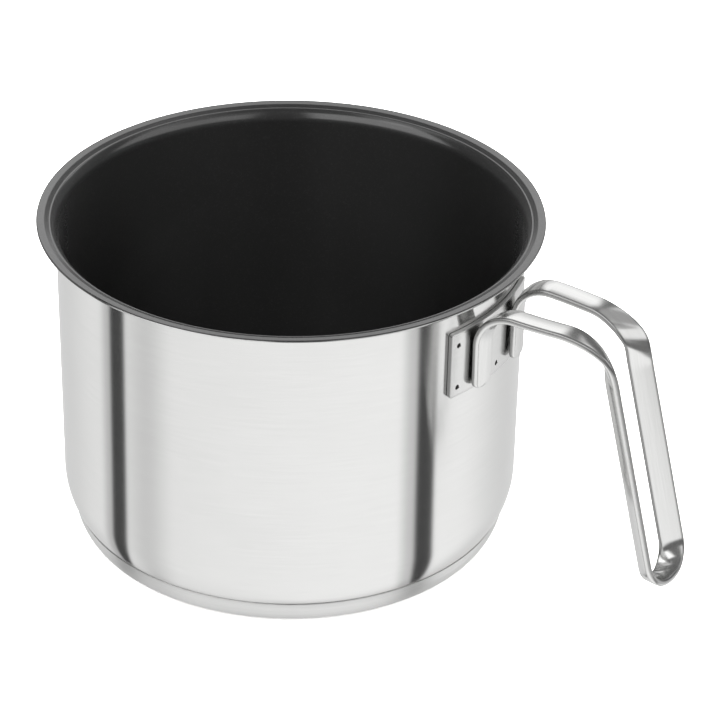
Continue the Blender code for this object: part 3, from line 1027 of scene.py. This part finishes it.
def studio_light():
    """Soft boxes in a dim room over a pale table, with a plain pale backdrop for what the camera sees."""
    world = bpy.data.worlds.new("studio")
    bpy.context.scene.world = world
    world.use_nodes = True
    tree = Tree(world.node_tree)
    world.node_tree.nodes.clear()
    ray = tree.add("ShaderNodeTexCoord", {}, {}, "Generated")
    x, y, z = tree.split(ray)
    flat = (x * x + y * y).maths("MAXIMUM", LEAST_LEVEL) ** 0.5

    def window(middle, half_width, softness):
        """1 within an angle of a direction about Z, falling softly to 0 beyond it."""
        turn = math.radians(middle)
        towards = (x * math.cos(turn) + y * math.sin(turn)) / flat
        outer = math.cos(math.radians(half_width + softness))
        inner = math.cos(math.radians(half_width - softness))
        return tree.ranged(towards, outer, inner)

    def streak(middle, half_width, softness):
        """1 on what one upright line of the brushed wall mirrors, narrowing where the wall curves under."""
        view = math.degrees(VIEW_TURN) - 90
        wall = (middle + view) / 2
        brush = math.radians(wall + math.copysign(90, middle - view))
        facing = math.radians(wall)
        edges = [middle + end * (half_width + way * softness) for end in (-1, 1) for way in (-1, 1)]
        shares = sorted(math.cos(VIEW_RISE) * math.cos(math.radians(edge) - brush) for edge in edges)
        along = x * math.cos(brush) + y * math.sin(brush)
        out = x * math.cos(facing) + y * math.sin(facing)
        narrow = ((out + NARROW_SHIFT) / NARROW_RANGE).maths("MAXIMUM", NARROWEST).maths("MINIMUM", 1)
        aside = (along - (shares[0] + shares[3]) / 2).maths("ABSOLUTE") / narrow
        return 1 - tree.ranged(aside, (shares[2] - shares[1]) / 2, (shares[3] - shares[0]) / 2)

    def above(angle, softness):
        """0 below an angle over the horizon, rising softly to 1 above it."""
        lowest = math.sin(math.radians(angle - softness))
        highest = math.sin(math.radians(angle + softness))
        return tree.ranged(z, lowest, highest)

    bright = math.radians(BRIGHT_SIDE)
    side = (x * math.cos(bright) + y * math.sin(bright)) / flat
    *shade, shade_depth = TABLE_SHADE
    table = (side * TABLE_SWING + TABLE_STRENGTH) * (1 - window(*shade) * shade_depth)
    room = ROOM_STRENGTH
    for middle, half_width, low, high, strength in SOFT_BOXES:
        level = above(low, BOX_SOFTNESS) * (1 - above(high, BOX_SOFTNESS))
        room = window(middle, half_width, BOX_SOFTNESS) * level * strength + room
    over = above(TABLE_END, TABLE_SOFTNESS)
    light = table * (1 - over) + room * over
    under = 1 - above(GAP_TOP, GAP_TOP_SOFTNESS)
    for middle, half_width, softness, depth in GAPS:
        light = light * (1 - streak(middle, half_width, softness) * under * depth)
    white = (1, 1, 1, 1)
    soft = tree.add("ShaderNodeBackground", {}, {"Color": white, "Strength": light})
    plain = tree.add("ShaderNodeBackground", {}, {"Color": white, "Strength": PLAIN_STRENGTH})
    paths = tree.add("ShaderNodeLightPath", {}, {}, "Is Glossy Ray")
    both = tree.add("ShaderNodeMixShader", {}, {0: paths, 1: plain, 2: soft})
    leaving = world.node_tree.nodes.new("ShaderNodeOutputWorld")
    world.node_tree.links.new(both.socket, leaving.inputs["Surface"])


def photo_camera():
    """The camera, placed so that the pan's axis falls where the photograph has it."""
    position = Vector((0, -math.cos(VIEW_RISE), math.sin(VIEW_RISE))) * VIEW_DISTANCE
    sight = -position.normalized()
    right = Vector((1, 0, 0))
    up = right.cross(sight)
    half = PICTURE / 2
    aside = (AIM_PIXEL[0] - half) / FOCAL_PIXELS
    above = (half - AIM_PIXEL[1]) / FOCAL_PIXELS
    turn_aside = math.atan(aside)
    turn_up = math.atan(above * math.cos(turn_aside))
    turn = Matrix.Rotation(VIEW_ROLL, 3, sight)
    first = Matrix.Rotation(turn_aside, 3, up)
    right = first @ right
    second = Matrix.Rotation(-turn_up, 3, right)
    sight = turn @ second @ first @ sight
    up = turn @ second @ up
    right = turn @ right
    facing = Matrix((right, up, -sight)).transposed()
    round_pan = Matrix.Rotation(VIEW_TURN, 4, "Z")
    camera = bpy.data.objects.new("camera", bpy.data.cameras.new("camera"))
    camera.data.sensor_width = SENSOR
    camera.data.lens = SENSOR * FOCAL_PIXELS / PICTURE
    camera.data.clip_end = FAR_LIMIT
    placed = round_pan @ Matrix.Translation(position) @ facing.to_4x4()
    camera.matrix_world = Matrix.Translation(UP * AIM_HEIGHT) @ placed
    bpy.context.scene.collection.objects.link(camera)
    bpy.context.scene.camera = camera


TURNING = turning_tree()
BAR = bar_tree()
REPEAT = repeat_tree()


def main():
    """Builds every piece, then the stage."""
    bpy.context.scene.view_settings.view_transform = "Standard"
    lining_outer = SHEET_STACK - LINING_SHEET
    vessel = turned("pan_vessel", vessel_sheet(0, BODY_SHEET, 0), brushed_steel())
    finish_piece(vessel, "brushed_steel", "pan_body")
    lining = vessel_sheet(lining_outer, SHEET_STACK, LIP_SETBACK, stepped=True)
    coating = turned("nonstick_coating", lining, nonstick())
    finish_piece(coating, "nonstick", "nonstick_lining")
    cap = turned("pressed_cap", cap_outline(), cap_steel())
    finish_piece(cap, "cap_steel", "base_cap")
    plate_finish = bar_steel(
        "bracket_plate_steel",
        width=PLATE_HEIGHT,
        length=PLATE_WIDTH,
        along=60,
        across=2600,
        greys=(0.58, 0.63),
        rough_low=0.14,
        painted_side_shade=0.1,
    )
    finish_piece(bracket_plate(plate_finish), "bracket_steel", "handle_bracket")
    welds = on_welds("weld_plugs", weld_outline(), weld_steel())
    finish_piece(welds, "weld_steel", *[f"spot_weld_{number}" for number in range(1, 7)])
    bar_finish = bar_steel(
        "handle_bar_steel",
        width=STRAP_WIDTH,
        length=ENDLESS,
        along=50,
        across=3000,
        greys=(0.6, 0.66),
        rough_low=0.11,
        painted_side_shade=0.75,
    )
    finish_piece(handle_bar(bar_finish), "strap_steel", "handle_strap")
    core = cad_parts["aluminium_core"]
    faced = plain_aluminium()
    for slot in core.material_slots:
        slot.material = faced
    pale_floor()
    studio_light()
    photo_camera()


main()
